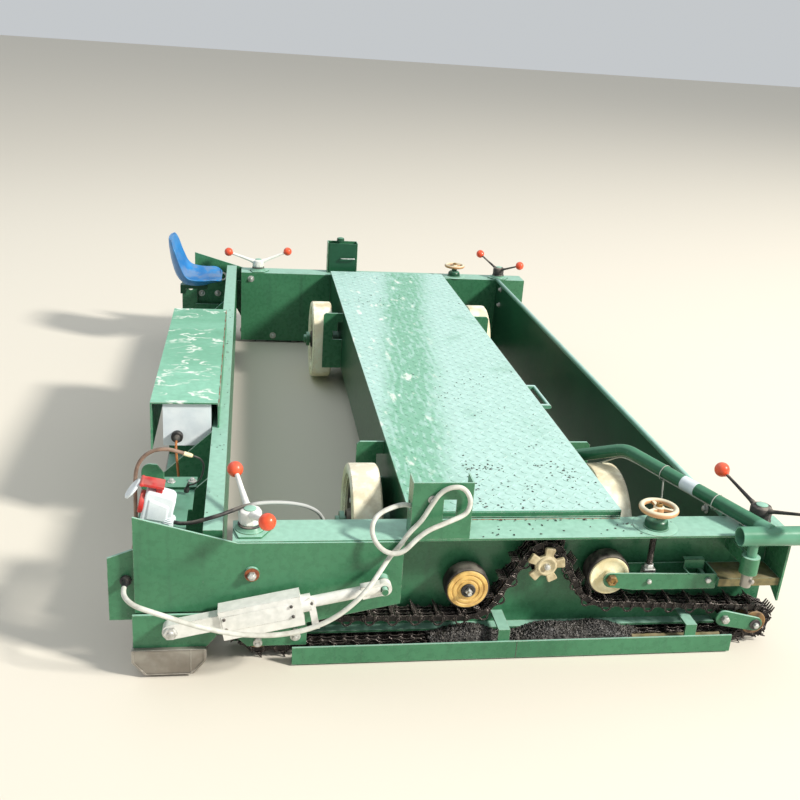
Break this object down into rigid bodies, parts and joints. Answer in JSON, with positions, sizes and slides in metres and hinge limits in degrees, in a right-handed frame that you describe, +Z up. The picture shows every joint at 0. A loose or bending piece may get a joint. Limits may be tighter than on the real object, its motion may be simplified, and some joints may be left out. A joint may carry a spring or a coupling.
{
  "type": "rubber track paver",
  "caption": "Self-propelled track paver for rubber granules, with a lifting heated screed, cleated chain tracks, transport wheels, a deck and a guide handle.",
  "frame": {"origin": "on the ground under the middle of the machine's box, without the power cable", "axes": "+X ahead in the paving direction, +Y to the machine's left across the paving width, +Z up"},
  "size_m": [2.02, 3.2176, 0.59],
  "materials": {
    "green_paint": "worn gloss",
    "pale_green_paint": "worn satin",
    "chain_steel": "oily, dusty",
    "pale_casting": "matt casting",
    "black_rubber": "matt",
    "cream_paint": "worn gloss",
    "motor_iron": "matt",
    "white_paint": "gloss",
    "orange_plastic": "gloss",
    "blue_plastic": "gloss",
    "bare_steel": "ground, streaked",
    "white_plastic": "satin",
    "pale_cable": "matt",
    "cream_polyurethane": "satin, scuffed",
    "hub_iron": "matt"
  },
  "bodies": {
    "frame": {"end_frame_r": "green_paint", "end_frame_l": "green_paint", "side_plates": "green_paint", "guard_rails": "green_paint", "track_r": "chain_steel", "track_l": "chain_steel", "drive_stars": "pale_casting", "roller_tyres": "black_rubber", "roller_hubs": "cream_paint", "tension_arms": "green_paint", "handwheels": "cream_paint", "idlers": "chain_steel", "chassis_beams": "green_paint", "deck_cover": "pale_green_paint", "front_plate": "green_paint", "drive_motors": "motor_iron", "wheel_brackets": "green_paint", "guide_handle": "green_paint", "cable_brackets": "green_paint", "ball_levers": "white_paint", "lever_balls": "orange_plastic", "seat": "blue_plastic", "seat_bracket": "green_paint", "power_cable": "pale_cable", "cable_plug": "black_rubber"},
    "screed": {"screed_frame": "green_paint", "ironing_plate": "bare_steel", "screed_cheeks": "green_paint", "cabinet_cover": "pale_green_paint", "control_box": "white_plastic"},
    "wheel_rr": {"wheel_tyre_rr": "cream_polyurethane", "wheel_hub_rr": "hub_iron"},
    "wheel_fr": {"wheel_tyre_fr": "cream_polyurethane", "wheel_hub_fr": "hub_iron"},
    "wheel_rl": {"wheel_tyre_rl": "cream_polyurethane", "wheel_hub_rl": "hub_iron"},
    "wheel_fl": {"wheel_tyre_fl": "cream_polyurethane", "wheel_hub_fl": "hub_iron"},
    "actuator_body_r": {"actuator_body_r": "white_paint"},
    "actuator_rod_r": {"actuator_rod_r": "white_paint"},
    "actuator_body_l": {"actuator_body_l": "white_paint"},
    "actuator_rod_l": {"actuator_rod_l": "white_paint"}
  },
  "joints": [
    {"name": "wheel_spin_rr", "type": "hinge", "parent": "frame", "child": "wheel_rr", "pos_m": [-0.2655, -1.05, 0.197], "axis": [1, 0, 0], "continuous": true},
    {"name": "wheel_spin_fr", "type": "hinge", "parent": "frame", "child": "wheel_fr", "pos_m": [0.4975, -1.05, 0.197], "axis": [1, 0, 0], "continuous": true},
    {"name": "wheel_spin_rl", "type": "hinge", "parent": "frame", "child": "wheel_rl", "pos_m": [-0.2655, 0.835, 0.197], "axis": [1, 0, 0], "continuous": true},
    {"name": "wheel_spin_fl", "type": "hinge", "parent": "frame", "child": "wheel_fl", "pos_m": [0.4975, 0.835, 0.197], "axis": [1, 0, 0], "continuous": true},
    {"name": "screed_lift", "type": "hinge", "parent": "frame", "child": "screed", "pos_m": [-0.6, 0, 0.294], "axis": [0, 1, 0], "range_deg": [0, 10]},
    {"name": "actuator_swing_r", "type": "hinge", "parent": "screed", "child": "actuator_body_r", "pos_m": [-0.803, -1.545, 0.157], "axis": [0, 1, 0], "range_deg": [-6, 0]},
    {"name": "actuator_stroke_r", "type": "slide", "parent": "actuator_body_r", "child": "actuator_rod_r", "axis": [0.9793, 0, 0.2024], "range_m": [0, 0.015]},
    {"name": "actuator_swing_l", "type": "hinge", "parent": "screed", "child": "actuator_body_l", "pos_m": [-0.803, 1.545, 0.157], "axis": [0, 1, 0], "range_deg": [-6, 0]},
    {"name": "actuator_stroke_l", "type": "slide", "parent": "actuator_body_l", "child": "actuator_rod_l", "axis": [0.9793, 0, 0.2024], "range_m": [0, 0.015]}
  ],
  "couplings": [
    {"joint": "actuator_swing_r", "follows": "screed_lift", "ratio": -0.5885},
    {"joint": "actuator_stroke_r", "follows": "screed_lift", "m_per_rad": 0.0845},
    {"joint": "actuator_swing_l", "follows": "screed_lift", "ratio": -0.5885},
    {"joint": "actuator_stroke_l", "follows": "screed_lift", "m_per_rad": 0.0845}
  ]
}
